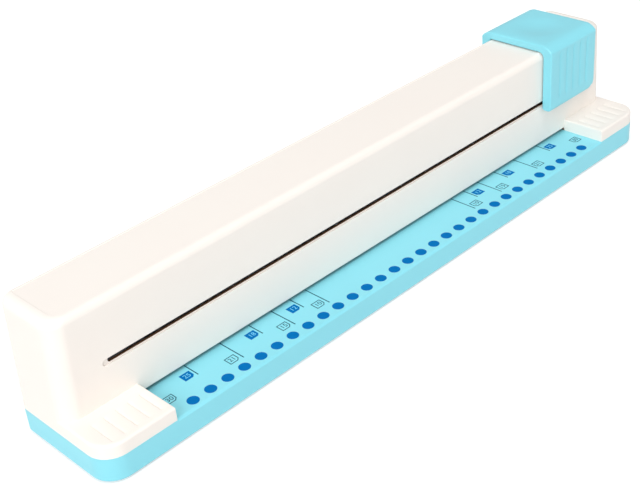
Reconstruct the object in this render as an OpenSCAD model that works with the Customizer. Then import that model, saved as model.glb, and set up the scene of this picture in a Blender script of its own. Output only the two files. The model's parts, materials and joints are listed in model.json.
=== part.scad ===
// Sliding paper punch for loose-leaf sheets. A slider is pushed along a covered beam,
// and a roller under it presses a row of punch pins through the sheet one after another.
// The punch stands on its feet at z = 0, x runs along its length, and +y points to its back.

/* [Sheet and holes] */
// Number of holes in the row
hole_count = 30; // [20:1:32]
// Spacing of the holes along the sheet's edge
hole_pitch = 9.5; // [9.2:0.1:10]
// Diameter of a punched hole
hole_d = 5.5; // [4.5:0.1:6]
// Distance from the sheet's edge to the middle of the holes
hole_margin = 6.5; // [5.5:0.1:7.5]
// Length of the sheet's punched edge
sheet_len = 297; // [270:1:300]
// Play of the sheet between the two finger pads
sheet_play = 2.6; // [1:0.1:6]
// Height of the throat that takes the sheet
throat_h = 1.6; // [1:0.1:3]

/* [Base] */
// Height of the base from its underside to its deck
base_h = 11.7; // [10:0.1:18]
// Depth of the open deck in front of the beam
deck_d = 24.2; // [22:0.1:40]
// Wall thickness of the base
base_wall = 2.2; // [1.6:0.1:3]
// Thickness of the deck
deck_t = 2.4; // [1.8:0.1:3]
// Plan radius of the front corners
front_corner_r = 11; // [5:0.5:13]
// Plan radius of the back corners
back_corner_r = 4; // [3:0.5:8]
// Chamfer along the front edge of the deck
deck_chamfer = 1; // [0.4:0.1:2]
// Thickness of the bed under the die plate
bed_t = 2.2; // [1.6:0.1:3]
// Diameter of a rubber foot
foot_d = 12; // [8:0.5:13]
// Height that the feet stand below the base
foot_h = 1; // [0.6:0.1:3]
// Depth of the seat that holds a foot
foot_seat = 1; // [0.6:0.1:2]

/* [Chip cover] */
// Thickness of the cover under the chip space
cover_t = 1.8; // [1.4:0.1:2.2]
// Radius of the cover's hinge barrel
barrel_r = 2.2; // [2:0.1:3]
// Diameter of the hinge pins
hinge_pin_d = 2.4; // [1.6:0.1:2.8]
// Length of a hinge pin
hinge_pin_len = 10; // [6:0.5:16]
// Radius of the thumb notch in the cover's front edge
thumb_r = 9; // [6:0.5:12]

/* [Housing] */
// Depth of the beam that covers the pins
beam_d = 34.5; // [32:0.1:40]
// Wall thickness of the housing
wall = 2.2; // [1.6:0.1:2.8]
// Headroom between the rail screws and the roof
headroom = 1.6; // [0.4:0.1:8]
// Lean of each end of the beam, at the top
end_lean = 2.2; // [1:0.1:5]
// Plan radius of the beam's front corners
beam_corner_r = 8; // [4:0.5:9]
// Fillet along the top's front and end edges
top_r = 4; // [3:0.1:6]
// Fillet along the top's back edge
back_edge_r = 1; // [0.5:0.1:2.5]
// Room behind each frame bracket for the screw bosses
end_room = 13; // [9:0.1:16]
// Height of the finger pads above the deck
pad_h = 6.5; // [5:0.1:9]
// Roof thickness of the finger pads
pad_roof = 2; // [1.4:0.1:2.4]
// Fillet along the outer edges of the finger pads
pad_r = 1.4; // [0.5:0.1:2.8]
// Fillet along the inner edge of the finger pads
pad_in_r = 0.6; // [0.2:0.1:1.5]
// Height of the slider's slots
slot_h = 2.4; // [1.8:0.1:2.8]
// Height of the middle of the slots above the deck
slot_rise = 24.6; // [22:0.1:27]
// Height of the shallow recess around each slot
recess_h = 3.2; // [3:0.1:5]
// Length of the recess beyond each end of its slot
recess_over = 3.1; // [1:0.1:4]
// Depth of the recess
recess_d = 1; // [0.4:0.1:1.2]

/* [Grip grooves] */
// Number of grooves on each pad and on each side of the slider
groove_count = 5; // [3:1:5]
// Spacing of the grooves
groove_pitch = 6.1; // [4:0.1:6.4]
// Width of a groove
groove_w = 1.6; // [1:0.1:2.4]
// Depth of a groove
groove_depth = 0.6; // [0.3:0.1:0.8]
// Length of the grooves on a pad, from front to back
pad_groove_len = 15; // [10:0.5:18]
// Distance from a pad's front edge to its grooves
pad_groove_edge = 3.2; // [2.8:0.1:5]
// Distance from a pad's inner edge to the middle of its first groove
pad_groove_in = 4.1; // [2:0.1:5]
// Height of the grooves on the slider
slider_groove_h = 26; // [16:0.5:27]

/* [Slider] */
// Length of the slider along the beam
slider_len = 41; // [36:0.5:46]
// Thickness of the slider's roof
slider_roof = 4.1; // [2.4:0.1:5]
// Thickness of the slider's skirts
skirt_t = 5.4; // [4.4:0.1:7]
// Height of the skirts below the slots
skirt_below = 3.6; // [3:0.1:8]
// Fillet along the slider's top edges
slider_r = 5.5; // [4:0.1:7]
// Fillet of the skirts' outer lower corner
skirt_corner_r = 5.5; // [2:0.1:6]
// Depth of the thumb dish in the roof
dish_depth = 0.7; // [0.3:0.1:1]
// Width of the thumb dish
dish_w = 26; // [18:0.5:30]

/* [Pins and guide] */
// Thickness of the die plate
die_t = 2; // [1.5:0.1:2.5]
// Thickness of the guide channel's sheet
guide_t = 2; // [1.5:0.1:2.5]
// Clear height inside the guide channel
guide_gap = 7.6; // [5:0.1:10]
// Length of a return spring on the pin
spring_len = 12; // [10:0.1:14]
// Wall of the spring's sleeve shape
spring_wall = 0.9; // [0.5:0.1:1]
// Diameter of a pin's head
head_d = 8.4; // [8.2:0.1:8.8]
// Thickness of a pin's head
head_t = 2.2; // [1.6:0.1:3]
// Distance that a pin's tip waits above the throat
tip_wait = 0.5; // [0.2:0.1:1]

/* [Carriage] */
// Diameter of the roller that presses the pins
press_d = 12; // [11:0.1:16]
// Diameter of the press roller's axle
press_axle_d = 5; // [4:0.1:6]
// Diameter of the two support rollers
support_d = 7; // [6:0.1:8]
// Diameter of the support rollers' axles
support_axle_d = 3; // [2.4:0.1:3.4]
// Angle of the support rollers from straight above the press roller
support_turn = 48; // [46:1:56]
// Width of the rollers
roller_w = 12; // [9:0.1:13]
// Thickness of the carriage's sheet steel
cheek_t = 1.5; // [1.2:0.1:1.8]
// Thickness of the ears that reach through the slots
ear_t = 1.4; // [1:0.1:1.6]
// Length of the ears along the beam
ear_len = 24.5; // [20:0.1:31]
// Depth that the ears reach into the skirts
ear_reach = 3.4; // [2:0.1:3.6]
// Distance from the last pin to the slider's parked middle
park_over = 10.3; // [10.2:0.1:14]

/* [Frame] */
// Thickness of the top rail
rail_t = 2; // [1.5:0.1:3]
// Width of the top rail
rail_w = 16; // [13:0.5:19]
// Thickness of the end brackets
bracket_t = 2; // [1.5:0.1:2.5]
// Length of the brackets' flanges
flange_len = 11; // [10:0.5:12]
// Thickness of the rubber end bumpers
bumper_t = 5.4; // [3:0.1:7]

/* [Screws] */
// Shank diameter of the screws
screw_d = 2.6; // [2:0.1:3]
// Head diameter of the screws
screw_head_d = 5; // [4:0.1:5.4]
// Head height of the screws
screw_head_h = 1.6; // [1:0.1:2]
// Length of a housing screw's shank
housing_screw_len = 5.8; // [5:0.1:6]

/* [Clearances] */
// Radial clearance of a shaft in its hole
run_clear = 0.05; // [0.02:0.01:0.1]
// Gap between neighbouring parts that move past each other
part_gap = 0.3; // [0.2:0.05:0.5]

/* [Hidden] */
$fn = 48;
over = 1;

// Places along x
last_pin_x = (hole_count - 1) * hole_pitch / 2;
park_x = last_pin_x + park_over;
support_reach = (press_d + support_d) / 2 + part_gap;
support_dx = support_reach * sin(support_turn);
carriage_half = support_dx + support_d / 2 + 2 * part_gap + cheek_t;
ear_half = ear_len / 2;
slot_half = park_x + ear_half + 2 * part_gap;
bracket_x = park_x + carriage_half + part_gap + bumper_t;
beam_in_x = bracket_x + bracket_t + end_room;
half_len = beam_in_x + wall + end_lean;
pad_x = (sheet_len + sheet_play) / 2;
pad_groove_x = pad_x + pad_groove_in + (groove_count - 1) / 2 * groove_pitch;
die_half = bracket_x - flange_len - 2 * part_gap;
window_half = last_pin_x + hole_d;
divider_x = window_half + over;
divider_t = base_wall;
cover_half = divider_x - part_gap;
boss_x = bracket_x + bracket_t + end_room / 2;

// Places along y, with the whole punch and its slider centred on the origin
slider_over = part_gap + skirt_t;
base_d = deck_d + beam_d;
base_front = -(base_d + slider_over) / 2;
base_back = base_front + base_d;
beam_front = base_back - beam_d;
mid_y = (beam_front + base_back) / 2;
beam_in = beam_d / 2 - wall;
stop_y = mid_y + hole_margin;
web_y = stop_y + screw_d + 3 * part_gap;
screw_y = (stop_y + web_y) / 2;
guide_front = mid_y - head_d;
guide_back = web_y + guide_t;
window_w = 2 * hole_d;
cheek_in = roller_w / 2 + part_gap;
cheek_out = cheek_in + cheek_t;
ear_y = beam_d / 2 + part_gap + ear_reach;
bracket_half = beam_in - 2 * part_gap;
bracket_screw_y = bracket_half - screw_head_d / 2 - part_gap;
boss_y = beam_in - screw_head_d / 2 - 2 * part_gap;
hinge_y = base_back - base_wall - part_gap - barrel_r;
skirt_y = beam_front - slider_over;
pad_mid_y = (base_front + beam_front) / 2;
pad_back = beam_front + beam_corner_r;
pad_groove_y = base_front + pad_groove_edge + pad_groove_len / 2;

// Heights
base_z = foot_h;
deck_z = base_z + base_h;
deck_low = deck_z - deck_t;
bed_z = deck_z - die_t - bed_t;
hinge_z = base_z + barrel_r;
pad_z = deck_z + pad_h;
boss_h = pad_h - pad_roof + over / 2;
throat_z = deck_z + throat_h;
guide_up_z = throat_z + guide_t + guide_gap;
spring_z = guide_up_z + guide_t;
head_z = spring_z + spring_len;
head_top = head_z + head_t;
tip_z = throat_z + tip_wait;
press_z = head_top + part_gap + press_d / 2;
support_z = press_z + support_reach * cos(support_turn);
carriage_low = head_top + 2 * part_gap;
carriage_top = support_z + support_d / 4;
rail_z = support_z + support_d / 2 + part_gap;
rail_top = rail_z + rail_t;
bracket_top = rail_top + bracket_t;
beam_top = bracket_top + screw_head_h + headroom + wall;
slot_z = deck_z + slot_rise;
skirt_z = slot_z - skirt_below;
slider_top = beam_top + part_gap + slider_roof;
slider_groove_z = slider_top - slider_r - part_gap - slider_groove_h;

// Places of the screws, as x and y
housing_screw_spots = [
  for (side = [-1, 1], spot = [[boss_x, mid_y - boss_y], [boss_x, mid_y + boss_y], [boss_x, pad_mid_y]])
    [side * spot[0], spot[1]]
];
bracket_screw_x = bracket_x - flange_len / 2 - over;
bracket_screw_spots = [
  for (side = [-1, 1], row = [-1, 1]) [side * bracket_screw_x, mid_y + row * bracket_screw_y]
];
die_screw_count = 5;
die_screw_spots = [
  for (i = [0:die_screw_count - 1])
    [last_pin_x * (2 * i / (die_screw_count - 1) - 1), screw_y]
];
rail_screw_y = rail_w / 4;
rail_screw_spots = [
  for (side = [-1, 1], row = [-1, 1]) [side * bracket_screw_x, mid_y + row * rail_screw_y]
];
foot_wall = 1.5;
foot_boss_r = foot_d / 2 + foot_wall;
front_foot_x = boss_x - screw_head_d / 2 - 2 * part_gap - foot_boss_r;
foot_spots = [
  for (side = [-1, 1], spot = [[front_foot_x, base_front + base_wall + foot_d], [bracket_x, mid_y]])
    [side * spot[0], spot[1]]
];

white = [0.96, 0.94, 0.91];
sky = [0.5, 0.82, 0.9];
steel = [0.62, 0.63, 0.65];
dark_steel = [0.3, 0.29, 0.28];
rubber = [0.2, 0.2, 0.21];

function pin_name(i) = str("punch_pin_", i < 10 ? "0" : "", i);
function pin_x(i) = (i - 1) * hole_pitch - last_pin_x;

// Box between two corners
module box(low, high) {
  translate(low) cube(high - low);
}

// Flat shape in y and z, pulled along x
module along_x(from, to) {
  translate([from, 0, 0]) rotate([90, 0, 90]) linear_extrude(to - from) children();
}

// Flat shape in x and z, pulled along y
module along_y(from, to) {
  translate([0, to, 0]) rotate([90, 0, 0]) linear_extrude(to - from) children();
}

// What a fillet takes off a square corner, whose inside lies to the upper right when turn is 0
module corner_cut(x, y, turn, r) {
  translate([x, y]) rotate(turn) difference() {
    translate([-over, -over]) square(r + over);
    translate([r, r]) circle(r);
  }
}

// Rectangle with one radius on its lower corners and one on its upper corners
module round_rect(low, high, low_r, high_r) {
  difference() {
    translate(low) square(high - low);
    corner_cut(low[0], low[1], 0, low_r);
    corner_cut(high[0], low[1], 90, low_r);
    corner_cut(high[0], high[1], 180, high_r);
    corner_cut(low[0], high[1], 270, high_r);
  }
}

// Plan of the base, drawn in by an inset
module base_plan(inset) {
  round_rect([-half_len + inset, base_front + inset], [half_len - inset, base_back - inset],
             front_corner_r - inset, back_corner_r - inset);
}

// Cylinder along y between two places
module rod_y(x, z, from, to, r) {
  translate([x, to, z]) rotate([90, 0, 0]) cylinder(r = r, h = to - from);
}

// Upright holes at a list of places
module drill(spots, from, to, r) {
  for (spot = spots) translate([spot[0], spot[1], from]) cylinder(r = r, h = to - from);
}

// Pan-head screws at a list of places, head below the shank
module screws(spots, seat_z, len) {
  for (spot = spots) translate([spot[0], spot[1], seat_z]) {
    cylinder(d = screw_d, h = len);
    translate([0, 0, -screw_head_h]) difference() {
      cylinder(d = screw_head_d, h = screw_head_h);
      translate([-screw_head_d / 4, -screw_d / 8, -over])
        cube([screw_head_d / 2, screw_d / 4, over + screw_head_h / 2]);
      translate([-screw_d / 8, -screw_head_d / 4, -over])
        cube([screw_d / 4, screw_head_d / 2, over + screw_head_h / 2]);
    }
  }
}

// Row of V-shaped grip grooves across the level y = 0, centred on x = 0
module grip_grooves() {
  for (i = [0:groove_count - 1]) translate([(i - (groove_count - 1) / 2) * groove_pitch, 0]) polygon([
    [-groove_w / 2, over],
    [-groove_w / 2, 0],
    [0, -groove_depth],
    [groove_w / 2, 0],
    [groove_w / 2, over]
  ]);
}

module base_shell() {
  color(sky) difference() {
    union() {
      difference() {
        translate([0, 0, base_z]) linear_extrude(base_h) base_plan(0);
        translate([0, 0, base_z - over]) linear_extrude(deck_low - base_z + over) base_plan(base_wall);
      }
      box([-die_half - base_wall, guide_front - base_wall, bed_z],
          [die_half + base_wall, base_back - base_wall / 2, deck_low + over]);
      for (side = [-1, 1]) {
        divider_mid = side * (divider_x + divider_t / 2);
        box([divider_mid - divider_t / 2, base_front + base_wall / 2, base_z],
            [divider_mid + divider_t / 2, base_back - base_wall / 2, deck_low + over]);
      }
      for (spot = foot_spots) translate([spot[0], spot[1], base_z])
        cylinder(r = foot_boss_r, h = deck_low + over - base_z);
    }
    box([-die_half, guide_front, deck_z - die_t], [die_half, guide_back, deck_z + over]);
    box([-window_half, mid_y - window_w / 2, bed_z - over], [window_half, mid_y + window_w / 2, deck_z]);
    along_x(-pad_x, pad_x) translate([base_front, deck_z]) rotate(45)
      square(deck_chamfer * sqrt(2), center = true);
    drill(foot_spots, base_z - over, base_z + foot_seat, foot_d / 2 + run_clear);
    drill(housing_screw_spots, deck_low - over, deck_z + over, screw_d / 2 + run_clear);
    drill(bracket_screw_spots, bed_z - over, deck_z + over, screw_d / 2 + run_clear);
    drill(die_screw_spots, bed_z - over, deck_z, screw_d / 2 + run_clear);
    for (side = [-1, 1]) translate([side * (divider_x + divider_t / 2), hinge_y, hinge_z])
      rotate([0, 90, 0]) cylinder(r = hinge_pin_d / 2 + run_clear, h = divider_t + 2 * over, center = true);
  }
}

// Leaning end of the beam at +x, with its top fillet: what is cut away
module end_cut() {
  lean = atan(end_lean / (beam_top - pad_z));
  fillet_x = half_len - end_lean + top_r * tan(lean) - top_r / cos(lean);
  fillet_z = beam_top - top_r;
  along_y(beam_front - over, base_back + over) difference() {
    polygon([
      [half_len, pad_z],
      [half_len + over, pad_z],
      [half_len + over, beam_top + over],
      [fillet_x, beam_top + over],
      [fillet_x, fillet_z],
      [fillet_x + top_r * cos(lean), fillet_z + top_r * sin(lean)]
    ]);
    translate([fillet_x, fillet_z]) circle(top_r);
  }
}

// Upper part of the beam, in y and z
module beam_section() {
  difference() {
    translate([beam_front, deck_z]) square([beam_d, beam_top - deck_z]);
    corner_cut(beam_front, beam_top, 270, top_r);
    corner_cut(base_back, beam_top, 180, back_edge_r);
  }
}

module beam_body() {
  difference() {
    intersection() {
      along_x(-half_len - over, half_len + over) beam_section();
      translate([0, 0, deck_z - over]) linear_extrude(beam_top - deck_z + 2 * over)
        round_rect([-half_len, beam_front], [half_len, base_back], beam_corner_r, back_corner_r);
    }
    end_cut();
    mirror([1, 0, 0]) end_cut();
  }
}

// Finger pad at +x, solid
module pad_body() {
  difference() {
    intersection() {
      translate([0, 0, deck_z]) linear_extrude(pad_h) base_plan(0);
      box([pad_x, base_front - over, deck_z - over], [half_len + over, pad_back, pad_z + over]);
    }
    along_x(pad_x - over, half_len + over) corner_cut(base_front, pad_z, 270, pad_r);
    along_y(base_front - over, pad_back) corner_cut(half_len, pad_z, 180, pad_r);
    along_y(base_front - over, beam_front) corner_cut(pad_x, pad_z, 270, pad_in_r);
    along_y(pad_groove_y - pad_groove_len / 2, pad_groove_y + pad_groove_len / 2)
      translate([pad_groove_x, pad_z]) grip_grooves();
  }
}

// Web that ties a screw boss in the beam to the wall beside it
module boss_web(spot) {
  web_half = [screw_d / 2, (beam_in + wall / 2 - boss_y) / 2];
  box([spot[0] - web_half[0], spot[1] - web_half[1], deck_z],
      [spot[0] + web_half[0], spot[1] + web_half[1], deck_z + boss_h]);
}

// Hollow under the finger pad at +x
module pad_hollow() {
  intersection() {
    translate([0, 0, deck_z - over]) linear_extrude(pad_h - pad_roof + over) base_plan(wall);
    box([pad_x + wall, base_front, deck_z - 2 * over], [half_len, beam_front, pad_z]);
  }
}

module housing() {
  color(white) difference() {
    union() {
      difference() {
        union() {
          beam_body();
          pad_body();
          mirror([1, 0, 0]) pad_body();
        }
        translate([0, 0, deck_z - over]) linear_extrude(beam_top - wall - deck_z + over)
          round_rect([-beam_in_x, beam_front + wall], [beam_in_x, base_back - wall],
                     max(beam_corner_r - wall - end_lean, over), over);
        pad_hollow();
        mirror([1, 0, 0]) pad_hollow();
      }
      for (spot = housing_screw_spots) translate([spot[0], spot[1], deck_z])
        cylinder(d = screw_head_d, h = boss_h);
      for (side = [-1, 1], row = [-1, 1])
        boss_web([side * boss_x, mid_y + row * (boss_y + beam_in + wall / 2) / 2]);
    }
    box([-pad_x, beam_front - over, deck_z - over], [pad_x, beam_front + wall + over, throat_z]);
    along_y(beam_front - over, base_back + over) slot_outline(slot_half, slot_h);
    along_y(beam_front - over, beam_front + recess_d) slot_outline(slot_half + recess_over, recess_h);
    along_y(base_back - recess_d, base_back + over) slot_outline(slot_half + recess_over, recess_h);
    drill(housing_screw_spots, deck_z - over, deck_z - deck_t + housing_screw_len + part_gap,
          screw_d / 2 + run_clear);
  }
}

// Outline of a slot or of its recess in x and z, with round ends
module slot_outline(half, height) {
  flat_half = half - height / 2;
  translate([-flat_half, slot_z - height / 2]) square([2 * flat_half, height]);
  for (side = [-1, 1]) translate([side * flat_half, slot_z]) circle(d = height);
}

module die_plate() {
  color(steel) difference() {
    box([-die_half + run_clear, guide_front + run_clear, deck_z - die_t],
        [die_half - run_clear, guide_back - run_clear, deck_z]);
    for (i = [1:hole_count]) translate([pin_x(i), mid_y, deck_z - die_t - over])
      cylinder(d = hole_d + 2 * run_clear, h = die_t + 2 * over);
    drill(die_screw_spots, deck_z - die_t - over, deck_z + over, screw_d / 2 + run_clear);
  }
}

module paper_stop() {
  color(steel) difference() {
    box([-die_half, stop_y, deck_z], [die_half, guide_back, throat_z]);
    drill(die_screw_spots, deck_z - over, throat_z + over, screw_d / 2 + run_clear);
  }
}

// Channel that guides the pins in its lower and its upper flange
module guide_channel() {
  color(steel) difference() {
    box([-die_half, guide_front, throat_z], [die_half, guide_back, spring_z]);
    box([-die_half - over, guide_front - over, throat_z + guide_t], [die_half + over, web_y, guide_up_z]);
    for (i = [1:hole_count]) translate([pin_x(i), mid_y, throat_z - over])
      cylinder(d = hole_d + 2 * run_clear, h = spring_z - throat_z + 2 * over);
    drill(die_screw_spots, throat_z - over, throat_z + guide_t + over / 2, screw_d / 2 + run_clear);
  }
}

module return_springs() {
  spring_in = hole_d / 2 + part_gap;
  color(steel) for (i = [1:hole_count]) translate([pin_x(i), mid_y, spring_z]) difference() {
    cylinder(r = spring_in + spring_wall, h = spring_len - run_clear);
    translate([0, 0, -over]) cylinder(r = spring_in, h = spring_len + 2 * over);
  }
}

// Punch pin with a broad head and a hollow-ground tip that cuts from its two sides
module punch_pin(i) {
  edge = head_t / 4;
  tip_r = hole_d * 1.2;
  tip_hollow = hole_d / 10;
  color(steel) translate([pin_x(i), mid_y, 0]) difference() {
    union() {
      translate([0, 0, tip_z]) cylinder(d = hole_d, h = head_z - tip_z + over / 2);
      translate([0, 0, head_z]) cylinder(d = head_d, h = head_t - edge);
      translate([0, 0, head_top - edge]) cylinder(d1 = head_d, d2 = head_d - 2 * edge, h = edge);
    }
    translate([0, hole_d, tip_z + tip_hollow - tip_r]) rotate([90, 0, 0]) cylinder(r = tip_r, h = 2 * hole_d);
  }
}

module top_rail() {
  color(steel) difference() {
    box([-bracket_x, mid_y - rail_w / 2, rail_z], [bracket_x, mid_y + rail_w / 2, rail_top]);
    drill(rail_screw_spots, rail_z - over, rail_top + over, screw_d / 2 + run_clear);
  }
}

// Bracket at +x that stands on the deck and holds the end of the top rail down
module bracket() {
  color(dark_steel) difference() {
    box([bracket_x - flange_len, mid_y - bracket_half, deck_z],
        [bracket_x + bracket_t, mid_y + bracket_half, bracket_top]);
    box([bracket_x - flange_len - over, mid_y - bracket_half - over, deck_z + bracket_t],
        [bracket_x, mid_y + bracket_half + over, rail_top]);
    drill(bracket_screw_spots, deck_z - over, deck_z + bracket_t + over, screw_d / 2 + run_clear);
    drill(rail_screw_spots, rail_top - over, bracket_top + over, screw_d / 2 + run_clear);
  }
}

module right_bracket() {
  bracket();
}

module left_bracket() {
  mirror([1, 0, 0]) bracket();
}

module end_bumpers() {
  bumper_half = cheek_in - part_gap;
  color(rubber) for (side = [-1, 1]) {
    bumper_mid = side * (bracket_x - bumper_t / 2);
    box([bumper_mid - bumper_t / 2, mid_y - bumper_half, carriage_low],
        [bumper_mid + bumper_t / 2, mid_y + bumper_half, carriage_top]);
  }
}

module housing_screws() {
  color(steel) screws(housing_screw_spots, deck_low, housing_screw_len);
}

module bracket_screws() {
  color(steel) screws(bracket_screw_spots, deck_low, deck_t + bracket_t);
}

module die_screws() {
  color(steel) screws(die_screw_spots, bed_z, throat_z + guide_t - bed_z);
}

module rail_screws() {
  color(steel) translate([0, 0, bracket_top]) mirror([0, 0, 1])
    screws(rail_screw_spots, 0, bracket_t + rail_t);
}

module rubber_feet() {
  edge = foot_h / 3;
  color(rubber) for (spot = foot_spots) translate([spot[0], spot[1], 0]) {
    cylinder(d1 = foot_d - 2 * edge, d2 = foot_d, h = edge);
    translate([0, 0, edge]) cylinder(d = foot_d, h = foot_h + foot_seat - edge);
  }
}

module hinge_pins() {
  color(steel) for (side = [-1, 1])
    translate([side * (divider_x + divider_t - hinge_pin_len / 2), hinge_y, hinge_z])
      rotate([0, 90, 0]) cylinder(d = hinge_pin_d, h = hinge_pin_len, center = true);
}

// Cover under the chip space, hinged along its back edge
module chip_cover() {
  cover_front = base_front + base_wall + part_gap;
  bore_len = hinge_pin_len - divider_t + part_gap;
  color(sky) difference() {
    union() {
      box([-cover_half, cover_front, base_z], [cover_half, hinge_y, base_z + cover_t]);
      translate([0, hinge_y, hinge_z]) rotate([0, 90, 0])
        cylinder(r = barrel_r, h = 2 * cover_half, center = true);
    }
    for (side = [-1, 1]) translate([side * (cover_half - bore_len / 2 + over / 2), hinge_y, hinge_z])
      rotate([0, 90, 0]) cylinder(r = hinge_pin_d / 2 + run_clear, h = bore_len + over, center = true);
    translate([0, cover_front, base_z - over]) cylinder(r = thumb_r, h = cover_t + 2 * over);
  }
}

// Slider section in y and z: an upturned U that rides over the beam
module slider_section() {
  skirt_edge_r = skirt_t / 3;
  difference() {
    round_rect([skirt_y, skirt_z], [base_back + slider_over, slider_top], skirt_edge_r, slider_r);
    difference() {
      translate([beam_front - part_gap, skirt_z - over])
        square([beam_d + 2 * part_gap, beam_top + part_gap - skirt_z + over]);
      corner_cut(beam_front - part_gap, beam_top + part_gap, 270, top_r);
      corner_cut(base_back + part_gap, beam_top + part_gap, 180, back_edge_r);
    }
  }
}

module slider_cap() {
  slider_low_x = park_x - slider_len / 2;
  slider_high_x = park_x + slider_len / 2;
  dish_r = (pow(dish_w / 2, 2) + pow(dish_depth, 2)) / (2 * dish_depth);
  slider_back = base_back + slider_over;
  color(sky) difference() {
    along_x(slider_low_x, slider_high_x) slider_section();
    along_y(skirt_y - over, slider_back + over) corner_cut(slider_high_x, skirt_z, 90, skirt_corner_r);
    box([park_x - ear_half, mid_y - ear_y, slot_z - ear_t / 2],
        [park_x + ear_half, mid_y + ear_y, slot_z + ear_t / 2]);
    translate([park_x, skirt_y, slider_groove_z]) linear_extrude(slider_groove_h) mirror([0, 1]) grip_grooves();
    translate([park_x, slider_back, slider_groove_z]) linear_extrude(slider_groove_h) grip_grooves();
    translate([park_x, mid_y, slider_top - dish_depth + dish_r]) sphere(dish_r);
  }
}

// Sheet-steel carriage: two cheeks, two end plates, and an ear on each side through the slots
module carriage() {
  ear_low = slot_z - ear_t / 2;
  color(dark_steel) translate([park_x, mid_y, 0]) difference() {
    union() {
      difference() {
        box([-carriage_half, -cheek_out, ear_low], [carriage_half, cheek_out, carriage_top]);
        box([cheek_t - carriage_half, -cheek_in, ear_low - over],
            [carriage_half - cheek_t, cheek_in, carriage_top + over]);
        box([-carriage_half - over, -cheek_in, ear_low - over],
            [carriage_half + over, cheek_in, carriage_low]);
      }
      for (side = [-1, 1]) {
        ear_mid = side * (cheek_in + ear_y) / 2;
        ear_w = ear_y - cheek_in;
        box([-ear_half, ear_mid - ear_w / 2, ear_low], [ear_half, ear_mid + ear_w / 2, ear_low + ear_t]);
      }
    }
    rod_y(0, press_z, -cheek_out - over, cheek_out + over, press_axle_d / 2 + run_clear);
    for (side = [-1, 1])
      rod_y(side * support_dx, support_z, -cheek_out - over, cheek_out + over, support_axle_d / 2 + run_clear);
  }
}

module press_axle() {
  color(steel) rod_y(park_x, press_z, mid_y - cheek_out, mid_y + cheek_out, press_axle_d / 2);
}

module support_axles() {
  color(steel) for (side = [-1, 1])
    rod_y(park_x + side * support_dx, support_z, mid_y - cheek_out, mid_y + cheek_out, support_axle_d / 2);
}

// Roller with broken edges and a bore for its axle
module roller(x, z, d, axle_d) {
  edge = part_gap;
  half = roller_w / 2;
  color(steel) translate([x, mid_y, z]) rotate([90, 0, 0]) rotate_extrude() polygon([
    [axle_d / 2 + run_clear, -half],
    [d / 2 - edge, -half],
    [d / 2, edge - half],
    [d / 2, half - edge],
    [d / 2 - edge, half],
    [axle_d / 2 + run_clear, half]
  ]);
}

module press_roller() {
  roller(park_x, press_z, press_d, press_axle_d);
}

module left_support_roller() {
  roller(park_x - support_dx, support_z, support_d, support_axle_d);
}

module right_support_roller() {
  roller(park_x + support_dx, support_z, support_d, support_axle_d);
}

base_shell();
housing();
die_plate();
paper_stop();
guide_channel();
return_springs();
top_rail();
left_bracket();
right_bracket();
end_bumpers();
housing_screws();
bracket_screws();
die_screws();
rail_screws();
rubber_feet();
hinge_pins();
chip_cover();
slider_cap();
carriage();
press_axle();
support_axles();
press_roller();
left_support_roller();
right_support_roller();
for (i = [1:hole_count]) punch_pin(i);
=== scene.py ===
# %% [markdown]
# # A sliding paper punch
# The punch is a white covered beam on a sky-blue base. A blue slider straddles the beam, and pushing it
# along presses thirty punch pins through a sheet, one after another. The CAD model gives every size and
# every joint. This lesson gives the pieces their moulded shapes, their finishes and their light, in metres
# and in the CAD's own frame, so that each piece lands where its CAD solid is.

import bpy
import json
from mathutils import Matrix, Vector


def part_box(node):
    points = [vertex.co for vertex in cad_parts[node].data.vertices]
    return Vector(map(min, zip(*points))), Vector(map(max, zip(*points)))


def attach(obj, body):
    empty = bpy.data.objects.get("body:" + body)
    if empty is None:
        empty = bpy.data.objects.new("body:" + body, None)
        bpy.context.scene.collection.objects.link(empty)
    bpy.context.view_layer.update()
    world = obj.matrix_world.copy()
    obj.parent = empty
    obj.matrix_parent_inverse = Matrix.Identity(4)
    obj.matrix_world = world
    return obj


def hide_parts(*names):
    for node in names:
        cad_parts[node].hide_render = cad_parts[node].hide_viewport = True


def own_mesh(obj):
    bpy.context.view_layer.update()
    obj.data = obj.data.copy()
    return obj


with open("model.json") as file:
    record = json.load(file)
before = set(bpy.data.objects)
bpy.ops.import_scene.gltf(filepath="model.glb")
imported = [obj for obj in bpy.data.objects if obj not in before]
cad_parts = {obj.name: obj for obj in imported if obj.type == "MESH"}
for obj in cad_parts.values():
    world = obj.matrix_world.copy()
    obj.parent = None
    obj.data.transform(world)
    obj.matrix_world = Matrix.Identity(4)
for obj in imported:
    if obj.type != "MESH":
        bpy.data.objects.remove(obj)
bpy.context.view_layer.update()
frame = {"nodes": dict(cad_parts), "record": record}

# %% [markdown]
# ## Sizes
# The main sizes could be typed in again, but then a new CAD size would leave this file behind. So they are
# read from the boxes of the CAD nodes, and only what a box doesn't tell is written here: radii, small
# steps, the depth of the deck and the place of the pads. Two points closer than TOUCH, a thousandth of a
# millimetre, count as one place.

# %% Shared sizes
import json
import math

import bmesh
import bpy
from mathutils import Matrix, Vector

MM = 0.001
TOUCH = 1e-6
X_AXIS, Y_AXIS, Z_AXIS = Vector((1, 0, 0)), Vector((0, 1, 0)), Vector((0, 0, 1))
DECK_D, PAD_X = 24.2 * MM, 149.8 * MM
housing_low, housing_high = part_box("housing")
half_len = housing_high.x
front_y, back_y = housing_low.y, housing_high.y
deck_z, beam_top = housing_low.z, housing_high.z
beam_front = front_y + DECK_D
beam_mid = (beam_front + back_y) / 2
print("beam from y", round(beam_front, 4), "to", round(back_y, 4), "and up to z", round(beam_top, 4))

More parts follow.
